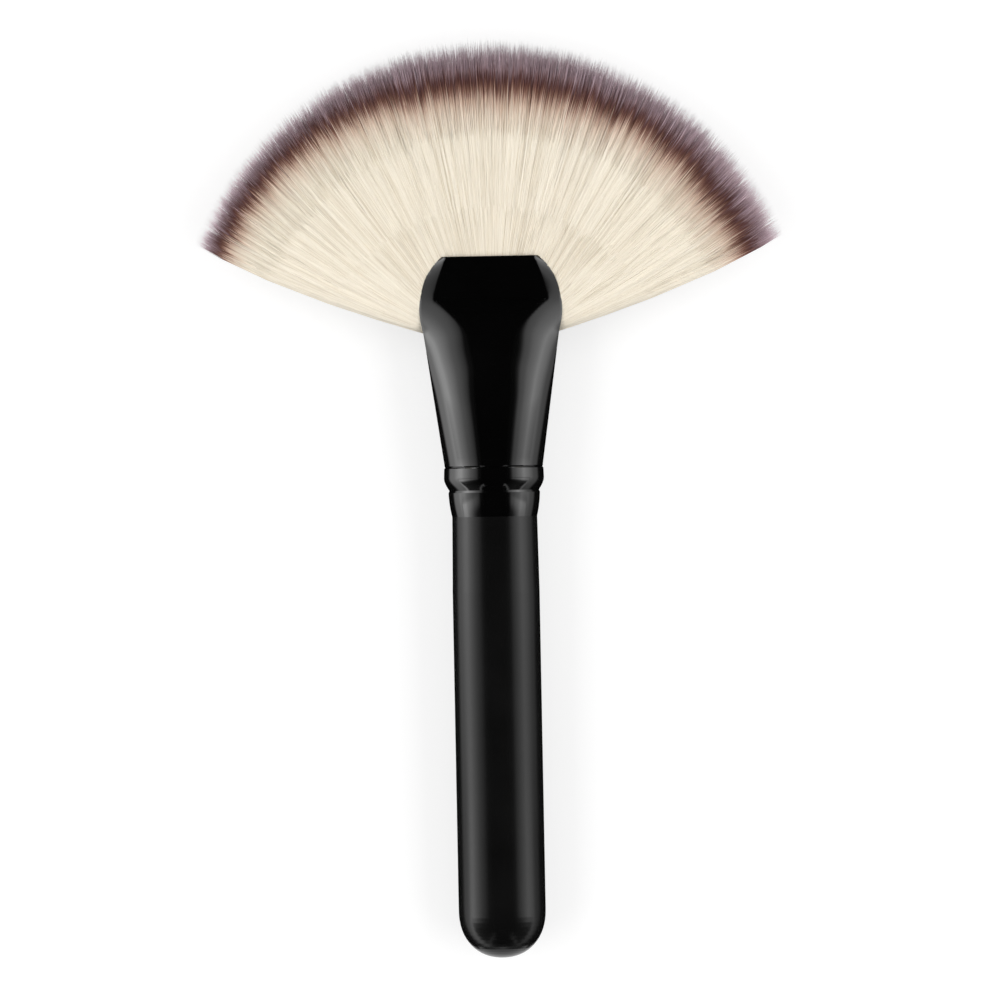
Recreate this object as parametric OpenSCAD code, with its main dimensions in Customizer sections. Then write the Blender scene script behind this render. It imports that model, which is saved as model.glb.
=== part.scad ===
// Large fan brush for the face: a turned wooden handle, a formed aluminium ferrule with a
// fish mouth, and a wide flat fan of fine filaments.
// Everything is drawn along the brush's own axis, with y running from the butt of the handle
// to the tips, x across the fan and z through its thickness. The finished brush is then laid
// down the way it rests on a table, on its handle and on the collar of its ferrule.

/* [Handle] */
// Radius of the straight part of the handle
handle_r = 8.7; // [7.5:0.1:8.9]
// Length of handle that shows below the ferrule
handle_len = 88.2; // [60:0.1:130]
// Length of the rounded butt
butt_len = 9.6; // [6:0.1:16]
// Squareness of the rounded butt, where 2 is an ellipse
butt_square = 2.2; // [1.8:0.1:3]
// Length of the slight neck under the ferrule
neck_len = 15; // [5:0.5:25]
// Length of the turned tenon inside the ferrule
tenon_len = 15.8; // [12:0.1:18]

/* [Ferrule sleeve] */
// Wall of the formed aluminium
wall = 0.5; // [0.3:0.05:0.7]
// Radius of the lower edge, flush with the handle's neck
foot_r = 8.5; // [8:0.05:8.8]
// Radius at the top of the lower crimped band
cuff_r = 9.15; // [8.8:0.05:9.4]
// Height of the lower crimped band
cuff_h = 4.8; // [3:0.1:6]
// Radius at the bottom of the rolled groove
groove_r = 8.95; // [8.6:0.05:9.1]
// Largest radius of the upper crimped band, the collar
collar_r = 10; // [9.6:0.05:10.6]
// Height of the whole sleeve, up to the seam under the mouth
sleeve_h = 10.4; // [9.4:0.1:13]

/* [Ferrule mouth] */
// Radius where the pressed mouth starts
form_r = 9.85; // [9.6:0.05:10.2]
// Length from the sleeve to the rim
mouth_len = 41.6; // [36:0.1:50]
// Half width of the flattened tube where its side slots start
side_half = 13.5; // [12:0.1:14]
// Radius of the round tongues, in front and behind
tongue_r = 14.35; // [13.6:0.05:15.5]
// Height of the tongues' middle under the rim
tongue_drop = 10.4; // [9:0.1:11]
// Length of the flat lip above the crease
lip_len = 8.5; // [6:0.1:10]
// Half thickness of the mouth at the crease
lip_half = 3.4; // [3.1:0.05:4.2]
// How much the lips close in from the crease to the rim
lip_close = 0.15; // [0:0.05:0.3]
// How late the tube is pressed flat, where 1 is an even wedge
press_power = 2.2; // [1.4:0.1:3]
// Half width of the flat face at the crease
flat_half = 10.9; // [9.5:0.1:11.5]
// Half width of the flat face at the rim
flat_top = 8.6; // [7.5:0.1:9]
// Length below the crease over which the flat face fades out
flat_fade = 19; // [12:0.5:25]
// Half width of the slots between the front and back tongues
slot_half = 2.2; // [1.8:0.05:2.6]
// Depth of the side slots, from the rim to their round bottoms
slot_depth = 15.8; // [14:0.1:17]

/* [Fan of filaments] */
// Length from the rim of the ferrule to the middle tips
free_len = 43.3; // [30:0.1:60]
// Radius of the arc that the tips are trimmed to
fan_r = 64; // [56:0.5:72]
// Half the angle that the arc spans
fan_angle = 67.6; // [50:0.1:75]
// How much shorter the corner filaments are than the arc
corner_trim = 1.3; // [0:0.1:4]
// Angle at which the outermost filaments leave the ferrule
splay = 73.3; // [60:0.1:78]
// Half thickness of the fan in its middle
fan_half = 3.5; // [2.8:0.1:5]
// Half thickness of the fan at its tips
tip_half = 1.7; // [1:0.1:3]
// Half thickness at the two outer edges
edge_half = 0.7; // [0.5:0.05:1]
// Number of locks that the filaments gather in
locks = 44; // [20:1:46]
// Depth of the valleys between locks, as a share of the thickness
lock_depth = 0.2; // [0:0.01:0.3]
// How far the deepest valleys fall short of the trimmed arc
lock_step = 1.1; // [0:0.1:2]
// Length of filaments between the resin and the side slots
root_len = 12; // [8:0.1:14]

/* [Fits] */
// Gap between the tenon and the ferrule, taken up by a film of glue
tenon_gap = 0.06; // [0.03:0.01:0.2]
// Gap around the resin plug
resin_gap = 0.08; // [0.05:0.01:0.2]
// Gap between the filaments and the metal
hair_gap = 0.2; // [0.1:0.05:0.4]

/* [Hidden] */
$fn = 96;

// Heights along the axis, from the butt up
form_y = handle_len + sleeve_h;
rim_y = form_y + mouth_len;
crease_y = rim_y - lip_len;
tongue_y = rim_y - tongue_drop;
slot_y = rim_y - slot_depth;
slot_full_y = slot_y + slot_half;
flat_y = crease_y - flat_fade;
tip_y = rim_y + free_len;
arc_y = tip_y - fan_r;
tenon_y = handle_len + tenon_len;
root_y = slot_y - root_len;

// Steps of the curved outlines and surfaces
BUTT_STEPS = 16;
BAND_STEPS = 6;
COLLAR_STEPS = 3;
QUARTER = 12;
RING = 4 * QUARTER;
FORM_RINGS = 18;
SLOT_RINGS = 6;
LIP_RINGS = 9;
RIM_ROUND = 0.15;
LOCK_COLUMNS = 3;

// Flats round the outside of the sleeve, which stand for its true round. One of them faces
// the table, so the brush lies still on the crest of its collar.
FLATS = 24;
BORE_PAST = 1;

// Small forms of the rolled sleeve: the cuff's swell, the groove's height, the collar's
// depth under the seam, and the seam itself
CUFF_SWELL = 0.12;
ROLL_H = 0.45;
COLLAR_DROP = 2.6;
SEAM_DIP = 0.14;
SEAM_H = 0.25;
SEAM_STEP = 0.03;
SEAM_LAP = 0.1;

// Power of the ferrule's rounded sides, where the tube is round and at the mouth
ROUND_POWER = 2;
MOUTH_POWER = 2.4;

// The lips' curled edge, and how fast the filaments swell once they are past it
LIP_EDGE = 1.6;
LIP_CURL = 4;
SWELL = 0.25;

// How the filaments run: where they start over the slots' bottoms, how far along their
// bend is centred, where the fan is thickest, and how its outer edges round off
EXIT_RISE = 0.4;
EXIT_DIP = 2.2;
ROOT_CLEAR = 0.6;
BEND = 0.634;
MOUTH_EXTRA = 0.6;
FULL_AT = 0.45;
EDGE_POWER = 10;
ROOT_EDGE = 0.4;

// How the locks differ: each turns by the golden angle from the last, valleys are at least
// VALLEY_MIN of full depth, crests at most CREST_MAX, and both fade out towards the ferrule
GOLDEN = 137.508;
VALLEY_MIN = 0.6;
CREST_MAX = 0.4;
GROOVE_FADE = 0.33;

function lerp(a, b, t) = a + (b - a) * t;
function clamp(t) = min(1, max(0, t));
function ease(t) = t * t * (3 - 2 * t);
function share(y, y0, y1) = clamp((y - y0) / (y1 - y0));

// A crimped band in section: a straight taper with a swell
function band(r0, r1, y0, y1, swell) =
    [for (i = [0:BAND_STEPS])
        [lerp(r0, r1, i / BAND_STEPS) + swell * sin(180 * i / BAND_STEPS),
         lerp(y0, y1, i / BAND_STEPS)]];

// Outer section of the sleeve from its foot to the seam, as [radius, height] pairs
groove_y = handle_len + cuff_h + ROLL_H;
collar_y = form_y - COLLAR_DROP;
seam_y = form_y - 2 * SEAM_H;
function sleeve_section() = concat(
    band(foot_r, cuff_r, handle_len, handle_len + cuff_h, CUFF_SWELL),
    [[groove_r, groove_y]],
    [for (i = [1:COLLAR_STEPS])
        [lerp(groove_r, collar_r, sin(90 * i / COLLAR_STEPS)),
         lerp(groove_y, collar_y, i / COLLAR_STEPS)]],
    [[collar_r - SEAM_DIP / 2, seam_y - SEAM_H],
     [form_r - SEAM_DIP, seam_y],
     [form_r, seam_y + SEAM_H],
     [form_r, form_y]]);

// The same section moved inwards by a distance
function inset(section, d) = [for (p = section) [p[0] - d, p[1]]];

// One ring of flats, whose middles touch the section's radius
function flat_ring(p) = [for (k = [0:FLATS - 1])
    let (phi = 360 * (k + 0.5) / FLATS, r = p[0] / cos(180 / FLATS))
    [r * cos(phi), p[1], r * sin(phi)]];

// Half width of the ferrule's outline, seen from the front
function taper_half(y) = lerp(form_r, side_half, (y - form_y) / (slot_y - form_y));
function tongue_half(y) = sqrt(max(0, pow(tongue_r, 2) - pow(y - tongue_y, 2)));
function outline_half(y) = y > tongue_y ? tongue_half(y) : max(taper_half(y), tongue_half(y));

// Half thickness of the ferrule, seen from the side
function thick_half(y) = y < crease_y
    ? lerp(form_r, lip_half, pow(share(y, form_y, crease_y), press_power))
    : lip_half - lip_close * share(y, crease_y, rim_y);

// Half width of the flat pressed face
function face_half(y) = y < crease_y
    ? flat_half * pow(share(y, flat_y, crease_y), press_power)
    : lerp(flat_half, flat_top, share(y, crease_y, rim_y));

function side_power(y) = lerp(ROUND_POWER, MOUTH_POWER, share(y, form_y, crease_y));

// The slots cut the rounded sides off at slot_half, so the sides reach a little further
// out than the outline, which then runs along the cut
function cut_share(y) = pow(1 - pow(slot_half / thick_half(y), side_power(y)), 1 / side_power(y));
function side_reach(y) = (outline_half(y) - face_half(y))
    / lerp(1, cut_share(y), share(y, slot_y, slot_full_y));

// One point of the ring at height y, moved inwards by a distance
function ring_point(y, k, d) =
    let (quarter = floor(k / QUARTER),
         i = k % QUARTER,
         phi = 90 * (quarter % 2 == 0 ? i : QUARTER - i) / QUARTER,
         p = 2 / side_power(y),
         flat = phi == 90 ? 0 : face_half(y),
         x = flat + (side_reach(y) - d) * pow(cos(phi), p),
         z = (thick_half(y) - d) * pow(sin(phi), p))
    [(quarter == 0 || quarter == 3 ? 1 : -1) * x, y, (quarter < 2 ? 1 : -1) * z];
function ring(y, d) = [for (k = [0:RING - 1]) ring_point(y, k, d)];

// Heights of the mouth's rings, closer together where the form turns fast
function form_heights() = concat(
    [for (i = [0:FORM_RINGS - 1]) lerp(form_y, slot_y, sin(90 * i / FORM_RINGS))],
    [for (i = [0:SLOT_RINGS - 1]) lerp(slot_y, crease_y, i / SLOT_RINGS)],
    [for (i = [0:LIP_RINGS]) lerp(crease_y, rim_y - RIM_ROUND, sin(90 * i / LIP_RINGS))]);

// Two triangles for each cell between neighbouring rings of a solid with closed ends
module capped(rings) {
    n = len(rings[0]);
    last = (len(rings) - 1) * n;
    polyhedron(
        points = [for (r = rings) each r],
        faces = concat(
            [for (j = [0:len(rings) - 2], k = [0:n - 1])
                let (a = j * n + k, b = j * n + (k + 1) % n, c = b + n, d = a + n)
                each [[a, b, c], [a, c, d]]],
            [[for (k = [n - 1:-1:0]) k]],
            [[for (k = [0:n - 1]) last + k]]));
}

// The same for rings that run round the wall of a tube and close on the first one
function loop_faces(rings) = [for (j = [0:rings - 1], k = [0:RING - 1])
    let (a = j * RING + k, b = j * RING + (k + 1) % RING,
         up = ((j + 1) % rings) * RING,
         c = up + (k + 1) % RING, d = up + k)
    each [[a, b, c], [a, c, d]]];

// The pressed mouth: up the outside, over the rim and down the inside, where every second
// ring is enough. Its first ring lies a hair below the seam, inside the sleeve's own wall.
module formed_mouth() {
    heights = form_heights();
    last = len(heights) - 1;
    outside = [for (i = [1:last]) ring(heights[i], 0)];
    over = [ring(rim_y, RIM_ROUND), ring(rim_y, wall - RIM_ROUND)];
    inside = [for (i = [last:-1:1]) if (i % 2 == 0 || i == last) ring(heights[i], wall)];
    rings = concat([ring(form_y - SEAM_LAP, SEAM_STEP)], outside, over, inside,
        [ring(form_y - SEAM_LAP, wall - SEAM_STEP)]);
    polyhedron(points = [for (r = rings) each r], faces = loop_faces(len(rings)));
}

module side_slots() {
    reach = 4 * tongue_r;
    translate([0, slot_full_y, 0]) rotate([0, 90, 0])
        cylinder(r = slot_half, h = reach, center = true);
    translate([-reach / 2, slot_full_y, -slot_half])
        cube([reach, slot_depth, 2 * slot_half]);
}

// Half of the room that the metal leaves the filaments at a place in the plan
function bore_half(x, y) =
    let (p = side_power(y),
         r = side_reach(y) - wall,
         t = clamp((abs(x) - face_half(y)) / r))
    (thick_half(y) - wall) * pow(1 - pow(t, p), 1 / p);
function slot_room(y) = y > slot_full_y ? slot_half
    : y < slot_y ? 0
    : sqrt(max(0, pow(slot_half, 2) - pow(slot_full_y - y, 2)));
function side_out(x, y) = y > tongue_y
    ? norm([x, y - tongue_y]) - tongue_r
    : abs(x) - outline_half(y);
function room_half(x, y) =
    let (at = min(y, rim_y),
         bore = bore_half(x, at),
         out = max(y - rim_y, side_out(x, y)),
         depth = ease(clamp((-side_out(x, at) - LIP_EDGE) / LIP_CURL)),
         inside = lerp(slot_room(at), max(bore, slot_room(at)), depth))
    y < slot_y ? bore : inside + SWELL * max(0, out - LIP_EDGE);

// Plan of the fan. u runs across it from -1 to 1, and v along a filament from 0 to 1.
function exit_point(u) = [(side_half - 2 * wall) * u, slot_full_y + EXIT_RISE - EXIT_DIP * u * u];
function tip_point(u, short) =
    let (r = fan_r - corner_trim * pow(abs(u), 8) - short)
    [r * sin(fan_angle * u), arc_y + r * cos(fan_angle * u)];
function fan_plan(u, v, short) =
    let (a = exit_point(u),
         c = tip_point(u, short),
         b = a + BEND * norm(c - a) * [sin(splay * u), cos(splay * u)])
    pow(1 - v, 2) * a + 2 * v * (1 - v) * b + v * v * c;
function root_plan(u, t) =
    let (y = lerp(root_y, slot_y - ROOT_CLEAR, t))
    [u * (face_half(y) + side_reach(y) - wall - 2 * hair_gap), y];

// Half thickness of the loose fan: it swells from the mouth and thins to the tips
function loose_half(v) = v < FULL_AT
    ? lerp(slot_half + MOUTH_EXTRA, fan_half, ease(v / FULL_AT))
    : lerp(fan_half, tip_half, ease((v - FULL_AT) / (1 - FULL_AT)));
function edge_round(u) = sqrt(max(0, 1 - pow(abs(u), EDGE_POWER)));

// Rows from the roots to the tips, as [is it in the fan, place along]
ROWS = concat(
    [for (t = [0, 0.5, 1]) [0, t]],
    [for (v = [0, 0.04, 0.09, 0.15, 0.21, 0.28, 0.38, 0.5, 0.63, 0.76, 0.88, 0.95, 1]) [1, v]]);
COLUMNS = locks * LOCK_COLUMNS;

// Each lock is one valley column and two crest columns of slightly different height
function is_valley(k) = k % LOCK_COLUMNS == 0 && k > 0 && k < COLUMNS;
function lock_wave(k) =
    let (turn = 0.5 + 0.5 * sin(GOLDEN * floor(k / LOCK_COLUMNS) + 60 * (k % LOCK_COLUMNS)))
    is_valley(k) ? lerp(VALLEY_MIN, 1, turn) : CREST_MAX * turn;
function hair_point(row, k, side) =
    let (u = 2 * k / COLUMNS - 1,
         fan = row[0] == 1,
         v = fan ? row[1] : 0,
         p = fan ? fan_plan(u, v, lock_step * lock_wave(k) * v) : root_plan(u, row[1]),
         free = fan ? loose_half(v) : form_r,
         room = room_half(p[0], p[1]) - hair_gap,
         groove = 1 - lock_depth * lock_wave(k) * ease(share(v, 0, GROOVE_FADE)),
         h = min(free * groove, room) * edge_round(u))
    [p[0], p[1], side * max(fan ? edge_half : ROOT_EDGE, h)];

// A flat closed grid: front face, back face, and a wall around their shared edge
function sheet_points() = [for (side = [1, -1], row = ROWS, k = [0:COLUMNS])
    hair_point(row, k, side)];
function sheet_faces() =
    let (w = COLUMNS + 1, n = len(ROWS), back = n * w)
    concat(
        [for (j = [0:n - 2], k = [0:COLUMNS - 1])
            let (a = j * w + k, b = a + 1, c = b + w, d = a + w)
            each [[a, d, c], [a, c, b]]],
        [for (j = [0:n - 2], k = [0:COLUMNS - 1])
            let (a = back + j * w + k, b = a + 1, c = b + w, d = a + w)
            each [[a, c, d], [a, b, c]]],
        [for (k = [0:COLUMNS - 1])
            let (a = k, b = k + 1)
            each [[a, b, back + b], [a, back + b, back + a]]],
        [for (k = [0:COLUMNS - 1])
            let (a = (n - 1) * w + k, b = a + 1)
            each [[b, a, back + a], [b, back + a, back + b]]],
        [for (j = [0:n - 2])
            let (a = j * w, d = a + w)
            each [[d, a, back + a], [d, back + a, back + d]]],
        [for (j = [0:n - 2])
            let (a = j * w + COLUMNS, d = a + w)
            each [[a, d, back + d], [a, back + d, back + a]]]);

// Lays the brush down: it touches the table at the butt end of the handle and at the collar
lie_pitch = atan((collar_r - handle_r) / (collar_y - butt_len));
lie_lift = handle_r * cos(lie_pitch) - butt_len * sin(lie_pitch);
lie_middle = tip_y * cos(lie_pitch) / 2;
module lying() {
    translate([0, -lie_middle, lie_lift]) rotate([lie_pitch, 0, 0]) children();
}

// Turns a [radius, height] section round the brush's axis
module spun() {
    rotate([-90, 0, 0]) rotate_extrude() children();
}

module handle() color([0.09, 0.09, 0.09]) lying() {
    butt = [for (i = [0:BUTT_STEPS])
        let (phi = 90 * i / BUTT_STEPS)
        [handle_r * pow(sin(phi), 2 / butt_square),
         butt_len - butt_len * pow(cos(phi), 2 / butt_square)]];
    tenon = [for (p = inset(sleeve_section(), wall + tenon_gap)) if (p[1] < tenon_y) p];
    tenon_r = thick_half(tenon_y) - wall - 2 * tenon_gap;
    section = concat(
        butt,
        [[handle_r, handle_len - neck_len], [foot_r, handle_len]],
        tenon,
        [[tenon_r, form_y], [tenon_r, tenon_y], [0, tenon_y]]);
    spun() polygon(section);
}

// The bore of the sleeve, open at both ends
module sleeve_bore() {
    section = inset(sleeve_section(), wall);
    top = section[len(section) - 1];
    spun() polygon(concat(
        [[0, handle_len - BORE_PAST], [section[0][0], handle_len - BORE_PAST]],
        section,
        [[top[0], top[1] + BORE_PAST], [0, top[1] + BORE_PAST]]));
}

module ferrule() color([0.03, 0.03, 0.03]) lying() difference() {
    union() {
        difference() {
            capped([for (p = sleeve_section()) flat_ring(p)]);
            sleeve_bore();
        }
        formed_mouth();
    }
    side_slots();
}

module resin_plug() color([0.75, 0.68, 0.5]) lying() {
    heights = [for (i = [0:4]) lerp(tenon_y + resin_gap, root_y - resin_gap, i / 4)];
    capped([for (y = heights) ring(y, wall + resin_gap)]);
}

module bristles() color([0.92, 0.86, 0.78]) lying()
    polyhedron(points = sheet_points(), faces = sheet_faces());

handle();
ferrule();
resin_plug();
bristles();
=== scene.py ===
"""A large fan brush for the face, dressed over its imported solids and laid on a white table."""
import math

import bmesh
import bpy
import numpy as np
from mathutils import Matrix, Vector


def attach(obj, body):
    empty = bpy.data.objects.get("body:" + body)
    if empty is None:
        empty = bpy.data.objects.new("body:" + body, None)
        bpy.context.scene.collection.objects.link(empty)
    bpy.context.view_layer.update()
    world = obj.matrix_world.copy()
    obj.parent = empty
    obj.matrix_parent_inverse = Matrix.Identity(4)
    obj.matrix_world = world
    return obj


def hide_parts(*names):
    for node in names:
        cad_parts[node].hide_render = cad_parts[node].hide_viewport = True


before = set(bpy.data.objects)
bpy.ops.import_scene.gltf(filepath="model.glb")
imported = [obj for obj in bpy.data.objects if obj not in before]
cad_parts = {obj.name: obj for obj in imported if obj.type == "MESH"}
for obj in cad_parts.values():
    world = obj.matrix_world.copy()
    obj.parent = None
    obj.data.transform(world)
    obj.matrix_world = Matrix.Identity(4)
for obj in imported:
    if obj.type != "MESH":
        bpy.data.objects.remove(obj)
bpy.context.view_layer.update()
scene = bpy.context.scene
scene.view_settings.view_transform = "Standard"
luck = np.random.default_rng(7)
MM = 0.001

# The brush in millimetres, along its own axis. Most sizes are the solids', and the pressed face
# and the fan's corners follow the picture more closely.
# Handle, with the rounded end that it lies on
HANDLE_R, HANDLE_LEN, BUTT_LEN = 8.7, 88.2, 9.6
# Rolled sleeve of the ferrule: foot, cuff, groove and collar, and the seam over the collar
WALL, FOOT_R, CUFF_R, CUFF_H, CUFF_BULGE = 0.5, 8.5, 9.15, 4.8, 0.12
GROOVE_R, GROOVE_H, COLLAR_R, COLLAR_DROP, SLEEVE_H = 8.95, 0.45, 10.0, 2.6, 10.4
SEAM_TOP, SEAM_IN, SEAM_CUT = 0.07, 0.14, 0.25
# Formed mouth of the ferrule: taper, round-ended tongues, lip and side slots
FORM_R, MOUTH_LEN, SIDE_HALF = 9.85, 41.6, 13.5
TONGUE_R, TONGUE_DROP = 14.35, 10.4
LIP_LEN, LIP_HALF, LIP_CLOSE, RIM_ROUND = 8.5, 3.4, 0.15, 0.15
SLOT_HALF, SLOT_DEPTH = 2.2, 15.8
# Pressed flat face: half widths at the crease and the rim, and how it flares and thins
FLAT_HALF, FLAT_TOP, FLAT_FADE, FLARE_POWER, PRESS_POWER = 11.3, 8.8, 13.9, 1.53, 3.8
# Fan: free length, arc of the tips, spread at the mouth, half thicknesses, roots, and the gap
# that it keeps to the metal
FREE_LEN, FAN_R, FAN_ANGLE, CORNER_TRIM, CORNER_POWER = 43.3, 64.0, 67.6, 0.2, 8
SPLAY, BEND, FAN_HALF, TIP_HALF, EDGE_POWER = 73.3, 0.634, 3.5, 1.7, 10
ROOT_RISE, ROOT_BOW, MOUTH_SPARE, THICKEST_AT = 0.4, 2.2, 0.6, 0.45
HAIR_GAP, LEAST_HALF = 0.2, 0.55

FORM_Y = HANDLE_LEN + SLEEVE_H
COLLAR_Y = FORM_Y - COLLAR_DROP
RIM_Y = FORM_Y + MOUTH_LEN
CREASE_Y = RIM_Y - LIP_LEN
TONGUE_Y = RIM_Y - TONGUE_DROP
SLOT_Y = RIM_Y - SLOT_DEPTH
SLOT_FULL_Y = SLOT_Y + SLOT_HALF
TIP_Y = RIM_Y + FREE_LEN
ARC_Y = TIP_Y - FAN_R

# Power of the mouth's rounded sides up the ferrule, where 2 is round and 1 a straight slope,
# and the reach over which its steps are smoothed
POWER_STOPS, SIDE_POWERS = [112.4, 118, 122, 126, 129.5], [2, 1.8, 1.7, 1.27, 1.08]
POWER_SMOOTH = np.linspace(-2, 2, 9)
ROUND_SHARE = math.sqrt(1 - (SLOT_HALF / FORM_R) ** 2)

# The brush lies on its collar and its butt end
PITCH = math.atan((COLLAR_R - HANDLE_R) / (COLLAR_Y - BUTT_LEN))
LIE = (Matrix.Translation((0, -TIP_Y * math.cos(PITCH) / 2 * MM,
                           (HANDLE_R * math.cos(PITCH) - BUTT_LEN * math.sin(PITCH)) * MM))
       @ Matrix.Rotation(PITCH, 4, "X") @ Matrix.Scale(MM, 4))


def lerp(a, b, t):
    return a + (b - a) * t


def share(y, start, end):
    return np.clip((y - start) / (end - start), 0, 1)


def ease(t):
    return t * t * (3 - 2 * t)


def laid(points):
    """Points of the brush, in millimetres, moved to where it lies on the table, in metres."""
    turn = np.array(LIE)
    return points @ turn[:3, :3].T + turn[:3, 3]


def piece(name, points, faces, material):
    """A smooth mesh, laid down with the brush, that rides on the root body."""
    mesh = bpy.data.meshes.new(name)
    mesh.from_pydata(laid(points).tolist(), [], faces)
    mesh.shade_smooth()
    mesh.materials.append(material)
    made = bpy.data.objects.new(name, mesh)
    scene.collection.objects.link(made)
    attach(made, "root")
    return made


# Ferrule: the outline from the front, the thickness from the side, the pressed flat face
def tongue_half(y):
    return np.sqrt(np.maximum(0, TONGUE_R ** 2 - (y - TONGUE_Y) ** 2))


def outline_half(y):
    taper = lerp(FORM_R, SIDE_HALF, (y - FORM_Y) / (SLOT_Y - FORM_Y))
    return np.where(y > TONGUE_Y, tongue_half(y), np.maximum(taper, tongue_half(y)))


def thick_half(y):
    pressed = lerp(FORM_R, LIP_HALF, share(y, FORM_Y, CREASE_Y) ** PRESS_POWER)
    return np.where(y < CREASE_Y, pressed, LIP_HALF - LIP_CLOSE * share(y, CREASE_Y, RIM_Y))


def face_half(y):
    rising = FLAT_HALF * share(y, CREASE_Y - FLAT_FADE, CREASE_Y) ** FLARE_POWER
    return np.where(y < CREASE_Y, rising, lerp(FLAT_HALF, FLAT_TOP, share(y, CREASE_Y, RIM_Y)))


def side_power(y):
    near = [np.interp(y + step, POWER_STOPS, SIDE_POWERS) for step in POWER_SMOOTH]
    return np.mean(near, axis=0)


def edge_half(y):
    """Half width at the slots' half height: a round's at the collar, the outline's above."""
    return outline_half(y) * lerp(ROUND_SHARE, 1, share(y, FORM_Y, SLOT_FULL_Y))


def side_reach(y):
    """How far the rounded side runs out from the flat face, so that it is at edge_half where
    the slots' edges cross it."""
    power = side_power(y)
    cut = (1 - (SLOT_HALF / thick_half(y)) ** power) ** (1 / power)
    return (edge_half(y) - face_half(y)) / cut


def mouth_ring(y, inward, around):
    """One closed ring of the pressed mouth, its points evenly spaced along a quarter."""
    phi = np.radians(np.linspace(0, 90, 240))
    power = 2 / side_power(y)
    x = face_half(y) + (side_reach(y) - inward) * np.cos(phi) ** power
    edge = edge_half(y) - inward
    squeeze = (outline_half(y) - edge_half(y)) / (x[0] - edge)
    x = np.append(np.where(x > edge, edge + (x - edge) * squeeze, x), 0)
    z = (thick_half(y) - inward) * np.append(np.sin(phi) ** power, 1)
    run = np.append(0, np.cumsum(np.hypot(np.diff(x), np.diff(z))))
    stops = np.linspace(0, run[-1], around // 4 + 1)
    x, z = np.interp(stops, run, x), np.interp(stops, run, z)
    x[-1] = 0
    right = np.c_[np.append(x, x[-2:0:-1] * -1), np.append(z, z[-2:0:-1])]
    ring = np.concatenate([right, [[-x[0], 0]], right[1:][::-1] * [1, -1]])
    return np.c_[ring[:, 0], np.full(len(ring), y), ring[:, 1]]


def round_ring(radius, y, around):
    turn = np.linspace(0, 2 * math.pi, around, endpoint=False)
    return np.c_[radius * np.cos(turn), np.full(around, y), radius * np.sin(turn)]


def sleeve_section(steps=14):
    """Outer section of the rolled sleeve, from its foot to the seam, as radius and height."""
    part = np.linspace(0, 1, steps)
    cuff_y = HANDLE_LEN + CUFF_H
    cuff = np.c_[lerp(FOOT_R, CUFF_R, part) + CUFF_BULGE * np.sin(math.pi * part),
                 lerp(HANDLE_LEN, cuff_y, part)]
    collar = np.c_[lerp(GROOVE_R, COLLAR_R, np.sin(math.pi / 2 * part)),
                   lerp(cuff_y + GROOVE_H, COLLAR_Y, part)]
    seam = [[COLLAR_R - SEAM_TOP, FORM_Y - 3 * SEAM_CUT],
            [FORM_R - SEAM_IN, FORM_Y - 2 * SEAM_CUT], [FORM_R, FORM_Y - SEAM_CUT]]
    return np.concatenate([cuff, collar, seam])


def slowing(start, end, count):
    """Heights from start to end that come closer together towards the end."""
    return start + (end - start) * np.sin(np.radians(np.linspace(0, 90, count)))


def ferrule_piece(material, around=192, sharp_from=20):
    """The whole ferrule as one shell, outside, over the rim and down the bore."""
    heights = np.concatenate([slowing(FORM_Y, SLOT_Y, 30)[:-1],
                              np.linspace(SLOT_Y, CREASE_Y, 14)[:-1],
                              slowing(CREASE_Y, RIM_Y - RIM_ROUND, 14)])
    over = [(RIM_Y - RIM_ROUND + RIM_ROUND * math.sin(a), RIM_ROUND * (1 - math.cos(a)))
            for a in np.radians([30, 60, 90])]
    rings = [round_ring(r, y, around) for r, y in sleeve_section()]
    rings += [mouth_ring(y, 0, around) for y in heights]
    rings += [mouth_ring(y, inward, around) for y, inward in over]
    rings += [mouth_ring(y, WALL - inward, around) for y, inward in reversed(over)]
    rings += [mouth_ring(y, WALL, around) for y in heights[::-1]]
    rings += [round_ring(r - WALL, y, around) for r, y in sleeve_section()[::-1]]
    faces = []
    for j in range(len(rings)):
        for k in range(around):
            a, b = j * around + k, j * around + (k + 1) % around
            up = (j + 1) % len(rings) * around
            faces.append((a, up + k, up + (k + 1) % around, b))
    made = piece("ferrule_shell", np.concatenate(rings), faces, material)
    cutter = slot_cutter()
    cut = made.modifiers.new("side_slots", "BOOLEAN")
    cut.object = cutter
    cut.operation = "DIFFERENCE"
    cut.solver = "EXACT"
    graph = bpy.context.evaluated_depsgraph_get()
    shaped = bpy.data.meshes.new_from_object(made.evaluated_get(graph))
    made.modifiers.clear()
    made.data = shaped
    bpy.data.objects.remove(cutter)
    shaped.shade_smooth()
    shaped.set_sharp_from_angle(angle=math.radians(sharp_from))
    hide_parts("ferrule")


def slot_cutter(reach=30, past=5):
    """A round-bottomed bar right through both sides of the mouth."""
    turn = np.linspace(math.pi, 2 * math.pi, 33)
    edge = np.c_[SLOT_FULL_Y + SLOT_HALF * np.sin(turn), SLOT_HALF * np.cos(turn)]
    edge = np.concatenate([edge, [[RIM_Y + past, SLOT_HALF], [RIM_Y + past, -SLOT_HALF]]])
    count = len(edge)
    points = np.concatenate([np.c_[np.full(count, x), edge] for x in (-reach, reach)])
    faces = [(k, (k + 1) % count, count + (k + 1) % count, count + k) for k in range(count)]
    faces += [tuple(range(count))[::-1], tuple(range(count, 2 * count))]
    mesh = bpy.data.meshes.new("slot_cutter")
    mesh.from_pydata(laid(points).tolist(), [], faces)
    bar = bmesh.new()
    bar.from_mesh(mesh)
    bmesh.ops.recalc_face_normals(bar, faces=bar.faces)
    bar.to_mesh(mesh)
    bar.free()
    made = bpy.data.objects.new("slot_cutter", mesh)
    scene.collection.objects.link(made)
    return made


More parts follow.
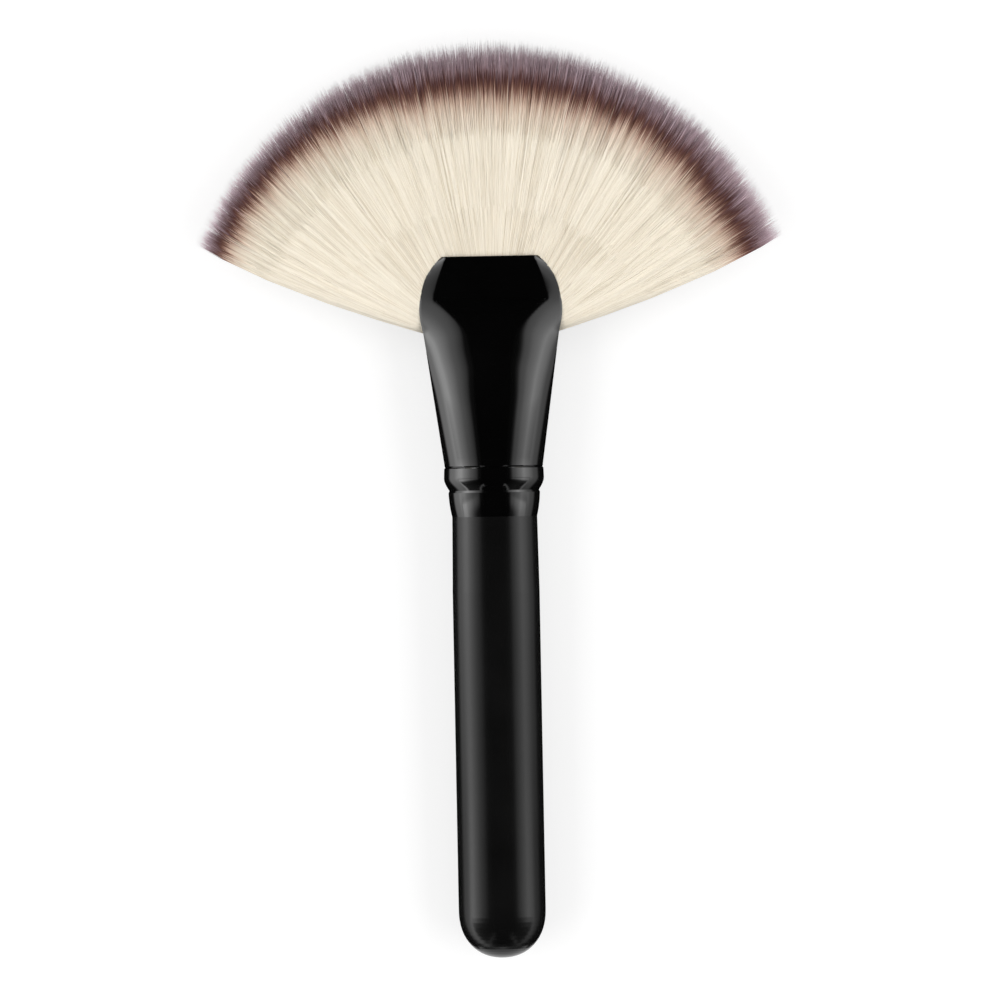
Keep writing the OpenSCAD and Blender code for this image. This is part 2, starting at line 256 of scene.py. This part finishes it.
# Room that the ferrule leaves the filaments
def bore_half(x, y):
    power = side_power(y)
    t = np.clip((np.abs(x) - face_half(y)) / (side_reach(y) - WALL), 0, 1)
    return (thick_half(y) - WALL) * (1 - t ** power) ** (1 / power)


def slot_room(y):
    curved = np.sqrt(np.maximum(0, SLOT_HALF ** 2 - (SLOT_FULL_Y - y) ** 2))
    return np.where(y > SLOT_FULL_Y, SLOT_HALF, np.where(y < SLOT_Y, 0, curved))


def side_out(x, y):
    """How far a place in the plan is outside the ferrule's side, negative inside it."""
    return np.where(y > TONGUE_Y, np.hypot(x, y - TONGUE_Y) - TONGUE_R,
                    np.abs(x) - outline_half(y))


def room_half(x, y, rim=1.6, inner=4, spread=0.25):
    """Half of the room that the metal leaves the filaments at a place in the plan."""
    at = np.minimum(y, RIM_Y)
    bore = bore_half(x, at)
    out = np.maximum(y - RIM_Y, side_out(x, y))
    depth = ease(np.clip((-side_out(x, at) - rim) / inner, 0, 1))
    inside = lerp(slot_room(at), np.maximum(bore, slot_room(at)), depth)
    return np.where(y < SLOT_Y, bore, inside + spread * np.maximum(0, out - rim))


# Fan: u runs across it from -1 to 1, v along a filament from 0 to 1
def fan_plan(u, v, short):
    """Places on the plan of the fan, for filaments that end short of the tips' arc."""
    start = np.array([(SIDE_HALF - 2 * WALL) * u, SLOT_FULL_Y + ROOT_RISE - ROOT_BOW * u * u])
    reach = FAN_R - CORNER_TRIM * np.abs(u) ** CORNER_POWER - short
    turn = np.radians(FAN_ANGLE) * u
    tip = np.array([reach * np.sin(turn), ARC_Y + reach * np.cos(turn)])
    leave = np.radians(SPLAY) * u
    bend = start + BEND * np.hypot(*(tip - start)) * np.array([np.sin(leave), np.cos(leave)])
    return (1 - v) ** 2 * start + 2 * v * (1 - v) * bend + v ** 2 * tip


def loose_half(v):
    """Half thickness of the fan where nothing holds it."""
    rising = lerp(SLOT_HALF + MOUTH_SPARE, FAN_HALF, ease(share(v, 0, THICKEST_AT)))
    falling = lerp(FAN_HALF, TIP_HALF, ease(share(v, THICKEST_AT, 1)))
    return np.where(v < THICKEST_AT, rising, falling)


def fan_half_at(u, v, plan):
    room = room_half(plan[0], plan[1]) - HAIR_GAP
    rounded = np.sqrt(np.maximum(0, 1 - np.abs(u) ** EDGE_POWER))
    return np.maximum(LEAST_HALF, np.minimum(loose_half(v), room) * rounded)


# How far from the tips' arc the dyed band is darkest, in millimetres, across the fan
DARK_ACROSS = [-1, -0.67, -0.45, -0.2, 0.07, 0.3, 0.47, 0.68, 1]
DARK_DEPTH = [4.7, 5.5, 6.3, 7.5, 8.0, 7.6, 7.0, 7.6, 7.1]


def dark_at(u):
    return np.interp(u, DARK_ACROSS, DARK_DEPTH)


def mark_points(mesh, name, values):
    mesh.attributes.new(name, "FLOAT", "POINT").data.foreach_set("value", values.ravel())


# Inner mass of the fan: its reach across, how far it ends from the tips' arc and how that
# waves, its length, its share of the fan's thickness, and its tone, a low one that darkens it
# as painted shade deep inside the fan
CORE_ACROSS, CORE_SHORT, CORE_WAVE, CORE_LEN = 0.985, 5, 0.8, 55
CORE_SHARE, CORE_SHADE_TONE = 0.66, 0.35


def core_piece(material):
    """The unseen inner mass of filaments, which keeps the fan from being looked through."""
    u, v = np.meshgrid(np.linspace(-CORE_ACROSS, CORE_ACROSS, 161), np.linspace(0, 1, 25))
    plan = fan_plan(u, v, CORE_SHORT + CORE_WAVE * np.sin(37 * u) * np.cos(23 * u))
    half = CORE_SHARE * fan_half_at(u, v, plan)
    front = np.stack([plan[0], plan[1], half], -1).reshape(-1, 3)
    back = front * [1, 1, -1]
    rows, columns = u.shape
    total = rows * columns
    faces = []
    for j in range(rows - 1):
        for k in range(columns - 1):
            a, d = j * columns + k, (j + 1) * columns + k
            faces += [(a, a + 1, d + 1, d), (total + a, total + d, total + d + 1, total + a + 1)]
    for k in range(columns - 1):
        last = (rows - 1) * columns + k
        faces += [(k + 1, k, total + k, total + k + 1),
                  (last, last + 1, total + last + 1, total + last)]
    for j in range(rows - 1):
        a, d = j * columns, (j + 1) * columns
        b, c = a + columns - 1, d + columns - 1
        faces += [(a, d, total + d, total + a), (c, b, total + b, total + c)]
    made = piece("filament_core", np.concatenate([front, back]), faces, material)
    from_arc = CORE_SHORT + (1 - v) * CORE_LEN
    mark_points(made.data, "band", np.tile((from_arc / dark_at(u)).ravel(), 2))
    # A low tone darkens the whole inner mass: painted shade inside the fan
    mark_points(made.data, "tone", np.full(2 * total, CORE_SHADE_TONE))
    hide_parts("bristles")


# One filament: where its rings stand along it, and their radius in millimetres
STOPS = np.array([0, 0.07, 0.18, 0.36, 0.62, 0.86, 1])
THICK = np.array([0.07, 0.07, 0.07, 0.07, 0.066, 0.052, 0.01])
LEVELS = len(STOPS) - 1
POINTS_EACH = 3 * LEVELS + 1
# Filaments in a wisp, and how much wisps differ in dye, length and height in the fan
WISP_SIZE, WISP_DYE, WISP_LEN, WISP_LIFT = 7, 0.55, 0.32, 0.16
# How far a filament strays from its wisp, at the root and at the tip, and between them
ROOT_STRAY, TIP_STRAY, GATHER, SWAY = 0.011, 0.0045, 1.5, 0.12
# Most filaments lie in the skin of the fan. Their tips end at different depths below the arc,
# and a few are broken.
SKIN_SHARE, SKIN_FROM, SKIN_INSET = 0.75, 0.9, 0.06
TIP_SHORT, BROKEN_SHARE, BROKEN_SHORT = (-0.1, 3.8), 0.05, (0.5, 4)
# How the dye's edge strays, and the depth at which it has its full stray
DYE_STRAY, DYE_FULL, TONE_OF_WISP = 0.75, 3, 0.6
# The unwrapped sheet has a cell for each filament, with a margin round it, and the face that
# closes the root is below the rest
CELLS_ACROSS, CELLS_UP = 256, 32
CELL_SIDE, CELL_WIDE, CELL_FOOT, CELL_TALL = 0.15, 0.7, 0.03, 0.94
ROOT_CORNERS = ((0.2, 0.01), (0.8, 0.01), (0.5, 0.03))


def drawn_filaments(count):
    """The middle lines of filaments gathered in wisps, how each is turned, where its tip is
    across the fan and short of the arc, and how its dye and its tone stray."""
    wisp_count = count // WISP_SIZE
    wisp_u = np.sort(luck.uniform(-1, 1, wisp_count))
    mine = luck.integers(0, wisp_count, count)
    wisp_dye = luck.normal(0, WISP_DYE, wisp_count)
    wisp_tone = luck.uniform(0, 1, wisp_count)
    wisp_long = luck.normal(0, WISP_LEN, wisp_count)
    wisp_lift = luck.normal(0, WISP_LIFT, wisp_count)
    root_u = np.clip(wisp_u[mine] + luck.normal(0, ROOT_STRAY, count), -1, 1)
    tip_u = np.clip(wisp_u[mine] + luck.normal(0, TIP_STRAY, count), -1, 1)
    in_skin = luck.random(count) < SKIN_SHARE
    depth = np.where(in_skin, luck.uniform(SKIN_FROM, 1.0, count),
                     luck.uniform(0, SKIN_FROM, count))
    depth *= np.where(luck.random(count) < 0.5, -1, 1)
    short = luck.uniform(*TIP_SHORT, count) + wisp_long[mine]
    short += np.where(luck.random(count) < BROKEN_SHARE, luck.uniform(*BROKEN_SHORT, count), 0)
    u = lerp(root_u[:, None], tip_u[:, None], STOPS[None, :] ** GATHER)
    v = np.broadcast_to(STOPS, u.shape)
    plan = fan_plan(u, v, short[:, None])
    sway = luck.normal(0, SWAY, (count, 1)) * np.sin(math.pi * v)
    half = fan_half_at(u, v, plan) - SKIN_INSET
    z = np.clip(depth[:, None] + wisp_lift[mine][:, None] * v ** 2, -1, 1) * half
    line = np.stack([plan[0] + sway, plan[1], z], -1)
    turn = luck.uniform(0, 2 * math.pi, count)
    dye = wisp_dye[mine] + luck.normal(0, DYE_STRAY, count)
    tone = TONE_OF_WISP * wisp_tone[mine] + (1 - TONE_OF_WISP) * luck.random(count)
    return line, turn, tip_u, short, dye, np.clip(tone, 0, 1)


def tube_points(line, turn):
    """Three points round each stop of every filament, and one at its tip."""
    along = np.gradient(line, axis=1)
    along /= np.linalg.norm(along, axis=2, keepdims=True)
    side = np.cross(along, [0, 0, 1.0])
    side /= np.linalg.norm(side, axis=2, keepdims=True)
    up = np.cross(side, along)
    edges = []
    for third in range(3):
        angle = (turn + third * 2 * math.pi / 3)[:, None, None]
        edges.append(line + THICK[None, :, None] * (np.cos(angle) * side + np.sin(angle) * up))
    body = np.stack([edge[:, :LEVELS] for edge in edges], 2).reshape(len(line), LEVELS * 3, 3)
    return np.concatenate([body, line[:, -1:]], 1)


def tube_faces(spots):
    """The faces of one filament, and their corners in its cell of the unwrapped sheet."""
    quads, quad_uv, tris, tri_uv = [], [], [], []
    sides = [(CELL_SIDE + CELL_WIDE * k / 3, CELL_SIDE + CELL_WIDE * (k + 1) / 3)
             for k in range(3)]
    for j in range(LEVELS - 1):
        for k, (low, high) in enumerate(sides):
            n = (k + 1) % 3
            quads.append((3 * j + k, 3 * j + n, 3 * j + 3 + n, 3 * j + 3 + k))
            quad_uv.append(((low, spots[j]), (high, spots[j]),
                            (high, spots[j + 1]), (low, spots[j + 1])))
    top = LEVELS - 1
    for k, (low, high) in enumerate(sides):
        tris.append((3 * top + k, 3 * top + (k + 1) % 3, 3 * LEVELS))
        tri_uv.append(((low, spots[top]), (high, spots[top]), ((low + high) / 2, spots[-1])))
    tris.append((2, 1, 0))
    tri_uv.append(ROOT_CORNERS)
    return quads, quad_uv, tris, tri_uv


def filaments(name, count, material):
    """Closed three-sided filaments, from inside the mouth to the tips."""
    line, turn, tip_u, short, dye, tone = drawn_filaments(count)
    run = np.linalg.norm(np.diff(line, axis=1), axis=2)
    spots = np.append(0, np.cumsum(run.mean(0)))
    quads, quad_uv, tris, tri_uv = tube_faces(CELL_FOOT + CELL_TALL * spots / spots[-1])
    shift = np.arange(count)[:, None, None] * POINTS_EACH
    all_quads = (np.array(quads)[None] + shift).reshape(-1, 4)
    all_tris = (np.array(tris)[None] + shift).reshape(-1, 3)
    made = piece(name, tube_points(line, turn).reshape(-1, 3),
                 all_quads.tolist() + all_tris.tolist(), material)
    cell = np.stack([np.arange(count) % CELLS_ACROSS, np.arange(count) // CELLS_ACROSS], -1)
    size = np.array([1 / CELLS_ACROSS, 1 / CELLS_UP])
    unwrapped = np.concatenate([((cell[:, None, None, :] + np.array(uv)[None]) * size)
                                .reshape(-1, 2) for uv in (quad_uv, tri_uv)])
    made.data.uv_layers.new(name="OFBake").data.foreach_set("uv", unwrapped.ravel())
    from_tip = np.append(np.cumsum(run[:, ::-1], axis=1)[:, ::-1], np.zeros((count, 1)), axis=1)
    from_arc = from_tip + short[:, None]
    dyed = from_arc + dye[:, None] * np.clip(from_arc / DYE_FULL, 0, 1)
    band = np.concatenate([np.repeat(dyed[:, :LEVELS], 3, axis=1), dyed[:, -1:]], 1)
    band /= dark_at(tip_u)[:, None]
    mark_points(made.data, "band", band.astype(np.float32))
    mark_points(made.data, "tone", np.repeat(tone[:, None], POINTS_EACH, 1).astype(np.float32))


# Nodes of materials
def put(tree, kind, **settings):
    """Adds a node. Its inputs get the values given, or are linked to the sockets given."""
    node = tree.nodes.new(kind)
    for key, value in settings.items():
        if key == "inputs":
            for socket, given in value.items():
                if isinstance(given, bpy.types.NodeSocket):
                    tree.links.new(given, node.inputs[socket])
                else:
                    node.inputs[socket].default_value = given
        else:
            setattr(node, key, value)
    return node


def maths(tree, operation, *values, clamp=False):
    return put(tree, "ShaderNodeMath", operation=operation, use_clamp=clamp,
               inputs=dict(enumerate(values))).outputs[0]


def linear(red, green, blue):
    """A colour of the picture, 0 to 255, in linear light."""
    parts = [c / 255 for c in (red, green, blue)]
    return [c / 12.92 if c <= 0.04045 else ((c + 0.055) / 1.055) ** 2.4 for c in parts] + [1]


def grey(level):
    return [level, level, level, 1]


def ramp(tree, factor, stops):
    node = put(tree, "ShaderNodeValToRGB", inputs={0: factor})
    marks = node.color_ramp.elements
    while len(marks) < len(stops):
        marks.new(0.5)
    for mark, (place, colour) in zip(marks, stops):
        mark.position = place
        mark.color = colour
    return node.outputs[0]


def noise(tree, place, scale, detail):
    return put(tree, "ShaderNodeTexNoise", inputs={
        "Vector": place, "Scale": scale, "Detail": detail}).outputs[0]


def new_material(name, **constants):
    """A material with one Principled shader, whose uniform values are given by name."""
    made = bpy.data.materials.new(name)
    made.use_nodes = True
    tree = made.node_tree
    tree.nodes.clear()
    surface = tree.nodes.new("ShaderNodeBsdfPrincipled")
    out = tree.nodes.new("ShaderNodeOutputMaterial")
    tree.links.new(surface.outputs[0], out.inputs[0])
    for label, value in constants.items():
        surface.inputs[label.replace("_", " ")].default_value = value
    return made, tree, surface


def group_of(name, inputs, outputs):
    tree = bpy.data.node_groups.new(name, "ShaderNodeTree")
    for label, value in inputs:
        socket = tree.interface.new_socket(label, in_out="INPUT", socket_type="NodeSocketFloat")
        socket.default_value = value
    for label, kind in outputs:
        tree.interface.new_socket(label, in_out="OUTPUT", socket_type=kind)
    return tree, tree.nodes.new("NodeGroupInput"), tree.nodes.new("NodeGroupOutput")


# Black finishes of the handle and the ferrule
def turned_marks():
    """Fine rings round the brush's axis, as turning and polishing leave them."""
    tree, given, out = group_of("turned marks", [("Scale", 400.0), ("Along", 12.0)],
                                [("Rings", "NodeSocketFloat"), ("Cloud", "NodeSocketFloat")])
    place = put(tree, "ShaderNodeTexCoord").outputs["Object"]
    split = put(tree, "ShaderNodeSeparateXYZ", inputs={0: place})
    across = maths(tree, "MULTIPLY", split.outputs["Y"], given.outputs["Along"])
    joined = put(tree, "ShaderNodeCombineXYZ", inputs={
        "X": split.outputs["X"], "Y": across, "Z": split.outputs["Z"]}).outputs[0]
    rings = noise(tree, joined, given.outputs["Scale"], 3.0)
    tree.links.new(rings, out.inputs["Rings"])
    tree.links.new(noise(tree, place, 60.0, 4.0), out.inputs["Cloud"])
    return tree


MARKS = turned_marks()


def black_coat(name, base, rough, rough_change, ring_scale, ring_height, **constants):
    """A black coat over turned wood or formed metal."""
    made, tree, surface = new_material(name, **constants)
    marks = put(tree, "ShaderNodeGroup", node_tree=MARKS, inputs={"Scale": ring_scale})
    shade = ramp(tree, marks.outputs["Cloud"], [(0.3, grey(base * 0.75)), (0.7, grey(base * 1.3))])
    roughness = maths(tree, "MULTIPLY_ADD", marks.outputs["Rings"], rough_change, rough)
    bump = put(tree, "ShaderNodeBump", inputs={
        "Height": marks.outputs["Rings"], "Distance": ring_height, "Strength": 0.4})
    tree.links.new(shade, surface.inputs["Base Color"])
    tree.links.new(roughness, surface.inputs["Roughness"])
    tree.links.new(bump.outputs[0], surface.inputs["Normal"])
    return made


def cured_resin():
    made, tree, surface = new_material("cured_resin", Roughness=0.35)
    place = put(tree, "ShaderNodeTexCoord").outputs["Object"]
    cloud = noise(tree, place, 220.0, 4.0)
    amber = ramp(tree, cloud, [(0.3, linear(150, 112, 58)), (0.7, linear(196, 160, 100))])
    tree.links.new(amber, surface.inputs["Base Color"])
    return made


# Colours of a filament, from the tips' arc down, where 1 is the darkest place of the band
BAND = [(0.0, (255, 248, 251)), (0.25, (252, 238, 245)), (0.4, (228, 204, 213)),
        (0.52, (198, 173, 183)), (0.64, (172, 149, 157)), (0.76, (156, 129, 134)),
        (0.88, (122, 94, 95)), (1.0, (102, 67, 67)), (1.12, (108, 72, 64)), (1.26, (140, 101, 87)),
        (1.4, (180, 144, 129)), (1.55, (222, 195, 176)), (1.9, (246, 231, 214)),
        (2.5, (255, 247, 231))]
BAND_END = 2.5
# What the darkest filaments are multiplied by, partly their own darker tone and partly painted
# shade between wisps, and the tone from which there is none of it
STREAK_AND_SHADE, STREAK_TO = (186, 172, 146), 0.55


def banded_colour():
    """Cream filaments with a dark brown band and mauve tips, and a few darker streaks, which are
    partly the filaments' own tone and partly painted shade between wisps.
    """
    tree, given, out = group_of("banded filaments", [("Streak and shade", 0.3)],
                                [("Color", "NodeSocketColor")])
    band = put(tree, "ShaderNodeAttribute", attribute_name="band").outputs["Fac"]
    tone = put(tree, "ShaderNodeAttribute", attribute_name="tone").outputs["Fac"]
    spot = maths(tree, "DIVIDE", band, BAND_END, clamp=True)
    colour = ramp(tree, spot, [(at / BAND_END, linear(*rgb)) for at, rgb in BAND])
    # Filaments and whole wisps of low tone are darkened: partly their own tone, partly painted
    # shade between wisps
    dark = put(tree, "ShaderNodeMapRange", inputs={
        "Value": tone, "From Min": 0.0, "From Max": STREAK_TO, "To Min": 1.0, "To Max": 0.0})
    dark = maths(tree, "MULTIPLY", dark.outputs[0], given.outputs["Streak and shade"])
    shaded = put(tree, "ShaderNodeMix", data_type="RGBA", blend_type="MULTIPLY", inputs={
        0: dark, 6: colour, 7: linear(*STREAK_AND_SHADE)})
    tree.links.new(shaded.outputs[2], out.inputs["Color"])
    return tree


def filament_material(name, bands, streak_and_shade, rough):
    made, tree, surface = new_material(name, Roughness=rough, Specular_IOR_Level=0.3)
    colour = put(tree, "ShaderNodeGroup", node_tree=bands, inputs={"Streak and shade": streak_and_shade})
    tree.links.new(colour.outputs[0], surface.inputs["Base Color"])
    return made


# Table, cards and lights
def only_seen_light(tree):
    """1 for what is seen, straight or in gloss or through glass, and 0 for light itself."""
    path = put(tree, "ShaderNodeLightPath")
    seen = maths(tree, "ADD", path.outputs["Is Camera Ray"], path.outputs["Is Glossy Ray"])
    return maths(tree, "ADD", seen, path.outputs["Is Transmission Ray"], clamp=True)


def stage_mesh(name, corners, faces, material, hidden_from=()):
    """A flat piece of the studio, which the ray kinds named don't see."""
    mesh = bpy.data.meshes.new(name)
    mesh.from_pydata(corners, [], faces)
    mesh.materials.append(material)
    made = bpy.data.objects.new(name, mesh)
    scene.collection.objects.link(made)
    for kind in hidden_from:
        setattr(made, "visible_" + kind, False)


# The rays that don't see what stands there for the gloss alone
NOT_GLOSS = ("camera", "diffuse", "shadow", "transmission")

# Table: half its side, the glow of its white near the brush and far off, and the greys that
# take the brush's shadow
TABLE_HALF, NEAR_GLOW, FAR_GLOW = 4, 0.6, 1.0
NEAR_AT, FAR_AT, NEAR_GREY, FAR_GREY = 0.16, 0.6, 0.48, 0.2


def white_table():
    made, tree, surface = new_material("white_table", Roughness=0.9, Specular_IOR_Level=0.0,
                                       Emission_Color=grey(1))
    place = put(tree, "ShaderNodeTexCoord").outputs["Object"]
    away = put(tree, "ShaderNodeVectorMath", operation="LENGTH", inputs={0: place})
    far = put(tree, "ShaderNodeMapRange", inputs={
        "Value": away.outputs["Value"], "From Min": NEAR_AT, "From Max": FAR_AT}).outputs[0]
    glow = maths(tree, "MULTIPLY_ADD", far, FAR_GLOW - NEAR_GLOW, NEAR_GLOW)
    glow = maths(tree, "MULTIPLY", glow, only_seen_light(tree))
    white = ramp(tree, far, [(0, grey(NEAR_GREY)), (1, grey(FAR_GREY))])
    tree.links.new(white, surface.inputs["Base Color"])
    tree.links.new(glow, surface.inputs["Emission Strength"])
    made.cycles.emission_sampling = "NONE"
    return made


def soft_box(name, place, aim, width, height, radiance):
    """A lamp for the light on the brush alone. The gloss shows the bounce sheets instead."""
    lamp = bpy.data.lights.new(name, "AREA")
    lamp.shape = "RECTANGLE"
    lamp.size, lamp.size_y = width, height
    lamp.energy = math.pi * radiance * width * height
    lamp.cycles.use_multiple_importance_sampling = False
    made = bpy.data.objects.new(name, lamp)
    back = (Vector(place) - Vector(aim)).normalized()
    made.rotation_euler = back.to_track_quat("Z", "Y").to_euler()
    made.location = place
    made.visible_camera = False
    made.visible_glossy = False
    scene.collection.objects.link(made)


# What the gloss shows on each side of the brush: how bright each height over the horizon
# is, in degrees, from below the near edge of the sheet on the table to its top
BOUNCE_LEFT = [(-36, 0.0), (-20, 0.02), (-16, 1.3), (-8, 2.2), (0, 4.7), (9, 5.5), (17, 4.0),
               (24, 3.2), (30, 2.4), (35, 1.7), (39, 1.5), (45, 1.0), (50, 0.6), (54, 0.05)]
BOUNCE_RIGHT = [(-36, 0.0), (-18.5, 0.02), (-14.5, 0.55), (-8, 0.9), (0, 2.3), (11, 3.3),
                (17, 4.1), (24, 3.05), (30, 2.5), (34, 2.2), (39, 1.5), (45, 1.2), (50, 0.2),
                (54, 0.02)]
BOUNCE_PEAK = 5.5
# How it changes along the brush, as shares of the way from beyond the butt to the ferrule
FADE_FROM, FADE_TO = -0.5, 0.02
BOUNCE_FADE = [(0, 0.03), (0.35, 0.1), (0.6, 0.85), (0.73, 1), (0.78, 0.62), (0.83, 0.55),
               (0.885, 0.75), (0.97, 1)]
# Where the sheets stand, in metres: near and far edge, top, half length, height over the table
BOUNCE_NEAR, BOUNCE_FAR, BOUNCE_TOP, BOUNCE_HALF, BOUNCE_LIFT = 0.014, 0.6, 1.05, 1.2, 0.0008
AXIS_HEIGHT = 0.01


def graded_bounce(levels):
    made, tree, surface = new_material("graded_bounce", Base_Color=grey(0),
                                       Specular_IOR_Level=0.0, Emission_Strength=BOUNCE_PEAK)
    place = put(tree, "ShaderNodeTexCoord").outputs["Object"]
    split = put(tree, "ShaderNodeSeparateXYZ", inputs={0: place})
    height = maths(tree, "SUBTRACT", split.outputs["Z"], AXIS_HEIGHT)
    rise = maths(tree, "ARCTAN2", height, maths(tree, "ABSOLUTE", split.outputs["X"]))
    first, last = levels[0][0], levels[-1][0]
    spot = put(tree, "ShaderNodeMapRange", inputs={
        "Value": rise, "From Min": math.radians(first), "From Max": math.radians(last)})
    level = ramp(tree, spot.outputs[0], [((at - first) / (last - first),
                                          grey(value / BOUNCE_PEAK)) for at, value in levels])
    along = put(tree, "ShaderNodeMapRange", inputs={
        "Value": split.outputs["Y"], "From Min": FADE_FROM, "From Max": FADE_TO})
    fade = ramp(tree, along.outputs[0], [(at, grey(value)) for at, value in BOUNCE_FADE])
    lit = put(tree, "ShaderNodeMix", data_type="RGBA", blend_type="MULTIPLY", inputs={
        0: 1.0, 6: level, 7: fade})
    tree.links.new(lit.outputs[2], surface.inputs["Emission Color"])
    made.cycles.emission_sampling = "NONE"
    return made


def bounce_sheet(side, material):
    """A sheet beside the brush that only gloss shows: along the table, then straight up."""
    edge = [(BOUNCE_NEAR, BOUNCE_LIFT), (BOUNCE_FAR, BOUNCE_LIFT), (BOUNCE_FAR, BOUNCE_TOP)]
    points = [(side * x, y, z) for x, z in edge for y in (-BOUNCE_HALF, BOUNCE_HALF)]
    stage_mesh("bounce_sheet", points, [(0, 1, 3, 2), (2, 3, 5, 4)], material, NOT_GLOSS)


# Black cards that only gloss shows: overhead, past both ends, and close along both sides
CARD_HALF, CARD_END_HALF, CARD_AWAY, CARD_TOP = 1.0, 1.3, 3.0, 1.6
CARD_LOW_NEAR, CARD_LOW_FROM, CARD_LOW_TO, CARD_LOW_LIFT = 0.009, -0.1, 0.03, 0.001


def black_cards():
    card = new_material("black_card", Base_Color=[0.002, 0.002, 0.002, 1], Roughness=1.0,
                        Specular_IOR_Level=0.0)[0]
    one = [(0, 1, 2, 3)]
    x, y = CARD_HALF, CARD_AWAY
    stage_mesh("card_above", [(-x, -y, CARD_TOP), (x, -y, CARD_TOP), (x, y, CARD_TOP),
                              (-x, y, CARD_TOP)], one, card, NOT_GLOSS)
    x = CARD_END_HALF
    for y in (-CARD_AWAY, CARD_AWAY):
        stage_mesh("card_end", [(-x, y, 0), (x, y, 0), (x, y, CARD_TOP), (-x, y, CARD_TOP)],
                   one, card, NOT_GLOSS)
    for side in (-1, 1):
        near, far, z = side * CARD_LOW_NEAR, side * BOUNCE_NEAR, CARD_LOW_LIFT
        stage_mesh("card_low", [(near, CARD_LOW_FROM, z), (far, CARD_LOW_FROM, z),
                                (far, CARD_LOW_TO, z), (near, CARD_LOW_TO, z)],
                   one, card, NOT_GLOSS)


# Sky's light on the brush, and the lamps: height over the horizon, distance, size, radiance
SKY = 0.42
LAMP_RISE, LAMP_FAR, LAMP_WIDE, LAMP_TALL, LAMP_RADIANCE = 40, 0.6, 0.9, 0.5, 1.97


def white_sky():
    """A world that is seen as white and lights the brush less."""
    world = bpy.data.worlds.new("studio")
    world.use_nodes = True
    tree = world.node_tree
    tree.nodes.clear()
    strength = maths(tree, "MULTIPLY_ADD", only_seen_light(tree), 1 - SKY, SKY)
    sky = put(tree, "ShaderNodeBackground", inputs={0: grey(1), 1: strength})
    out = tree.nodes.new("ShaderNodeOutputWorld")
    tree.links.new(sky.outputs[0], out.inputs[0])
    world.cycles.sampling_method = "NONE"
    scene.world = world


def studio():
    white_sky()
    t = TABLE_HALF
    stage_mesh("table", [(-t, -t, 0), (t, -t, 0), (t, t, 0), (-t, t, 0)], [(0, 1, 2, 3)],
               white_table())
    black_cards()
    for side, levels in ((-1, BOUNCE_LEFT), (1, BOUNCE_RIGHT)):
        bounce_sheet(side, graded_bounce(levels))
        turn = math.radians(LAMP_RISE)
        place = (side * LAMP_FAR * math.cos(turn), 0, LAMP_FAR * math.sin(turn))
        soft_box("side_light", place, (0, 0, AXIS_HEIGHT), LAMP_WIDE, LAMP_TALL, LAMP_RADIANCE)


# The picture's width and scale, how the brush leans in it, and what is at its middle
PX, MM_A_PIXEL, LEAN, MIDDLE = 990, 0.2, 1.1, (0.14, 92.49, 0)
CAMERA_FAR, SENSOR = 1.2, 36


def camera():
    """Looks straight at the flat of the fan, with the picture's scale."""
    lens = bpy.data.cameras.new("camera")
    lens.sensor_width = SENSOR
    lens.lens = SENSOR * CAMERA_FAR / (PX * MM_A_PIXEL * MM)
    lens.clip_start, lens.clip_end = 0.05, 20
    made = bpy.data.objects.new("camera", lens)
    lean = math.radians(LEAN)
    rest = Matrix.Rotation(PITCH, 3, "X")
    right = rest @ Vector((math.cos(lean), -math.sin(lean), 0))
    up = rest @ Vector((math.sin(lean), math.cos(lean), 0))
    back = rest @ Vector((0, 0, 1))
    turn = Matrix((right, up, back)).transposed()
    middle = LIE @ Vector(MIDDLE)
    made.matrix_world = Matrix.Translation(middle + CAMERA_FAR * back) @ turn.to_4x4()
    scene.collection.objects.link(made)
    scene.camera = made


def finish_node(node, material):
    """Gives a solid of the part, whose shape is right as it is, its material."""
    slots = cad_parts[node].data.materials
    slots.clear()
    slots.append(material)


# The filaments are in several pieces, which keeps each mesh light
FILAMENT_PIECES, FILAMENTS_EACH = 5, 5200

camera()
studio()
finish_node("handle", black_coat("black_lacquer", base=0.004, rough=0.19, rough_change=0.06,
                                 ring_scale=500.0, ring_height=0.00002, Specular_IOR_Level=0.25))
finish_node("resin_plug", cured_resin())
ferrule_piece(black_coat("black_enamel", base=0.0012, rough=0.08, rough_change=0.04,
                         ring_scale=300.0, ring_height=0.000004))
bands = banded_colour()
# The inner mass takes a stronger dark streak than the skin: painted shade deep inside the fan
core_piece(filament_material("inner_filaments", bands, streak_and_shade=0.6, rough=0.8))
strands = filament_material("banded_filaments", bands, streak_and_shade=0.45, rough=0.55)
for number in range(1, FILAMENT_PIECES + 1):
    filaments(f"filaments_{number}", FILAMENTS_EACH, strands)
